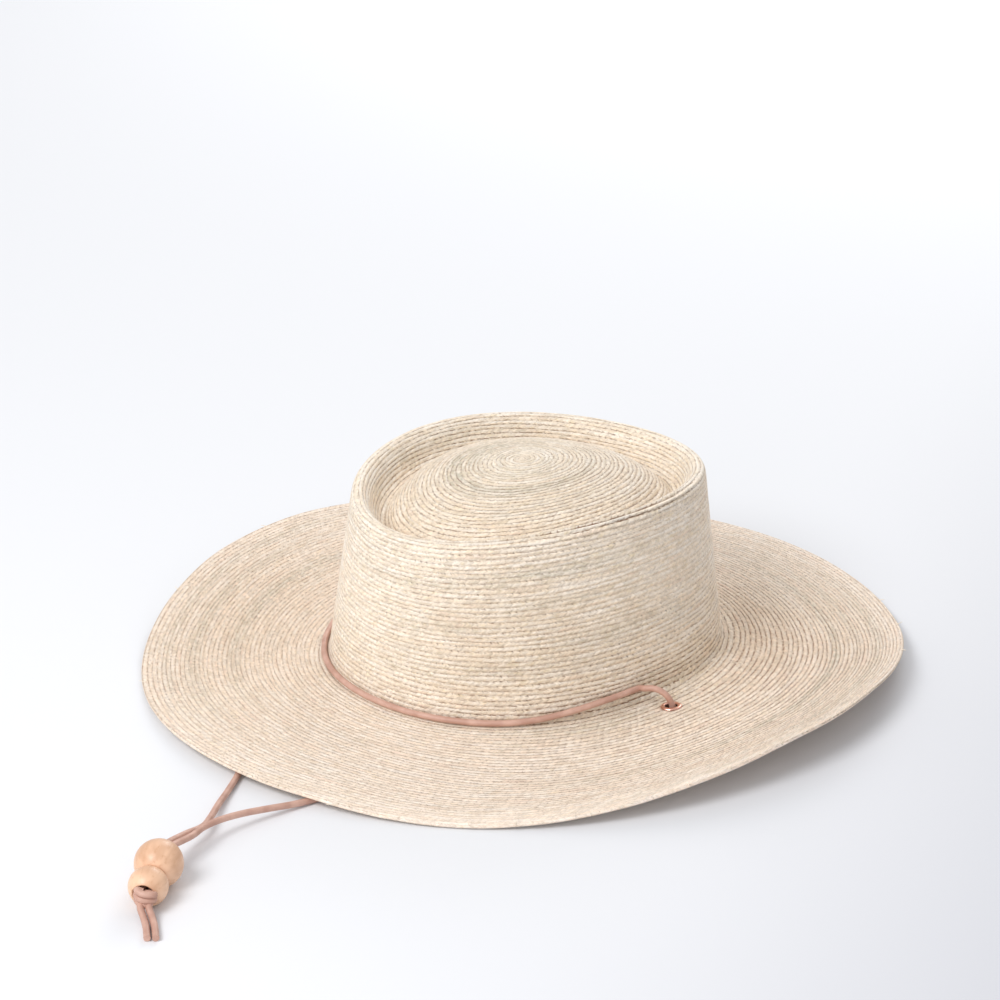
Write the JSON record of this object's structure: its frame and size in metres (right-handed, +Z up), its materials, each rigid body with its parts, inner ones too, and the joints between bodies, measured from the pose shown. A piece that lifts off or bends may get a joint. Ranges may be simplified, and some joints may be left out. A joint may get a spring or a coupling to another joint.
{
  "type": "straw hat with chin cord",
  "caption": "Wide brimmed palm straw hat with a telescope crown, eyelets in the brim, and a leather chin cord that passes through turned wooden beads to a stopper knot.",
  "frame": {"origin": "middle of the hat's own box at the height of the surface that it rests on; the loose chin cord is left out of that box", "axes": "+Z up; +Y towards the back of the hat, along the crown's long way; the chin cord lies out at the front, -Y"},
  "size_m": [0.3585, 0.4931, 0.1003],
  "materials": {
    "crown": "matt sewn palm braid",
    "brim": "matt sewn palm braid",
    "eyelet_right": "polished pink copper plate",
    "eyelet_left": "polished pink copper plate",
    "cord_band": "round tan lace",
    "cord_strand_right": "round tan lace",
    "cord_strand_left": "round tan lace",
    "cord_tail_right": "round tan lace",
    "cord_tail_left": "round tan lace",
    "stopper_knot": "round tan lace, knotted",
    "bead_large": "smooth turned wood",
    "bead_small": "smooth turned wood"
  },
  "bodies": {
    "root": {"crown": "crown", "brim": "brim", "eyelet_right": "eyelet_right", "eyelet_left": "eyelet_left", "cord_band": "cord_band", "cord_strand_right": "cord_strand_right", "cord_strand_left": "cord_strand_left", "cord_tail_right": "cord_tail_right", "cord_tail_left": "cord_tail_left", "stopper_knot": "stopper_knot", "bead_large": "bead_large", "bead_small": "bead_small"}
  },
  "joints": []
}
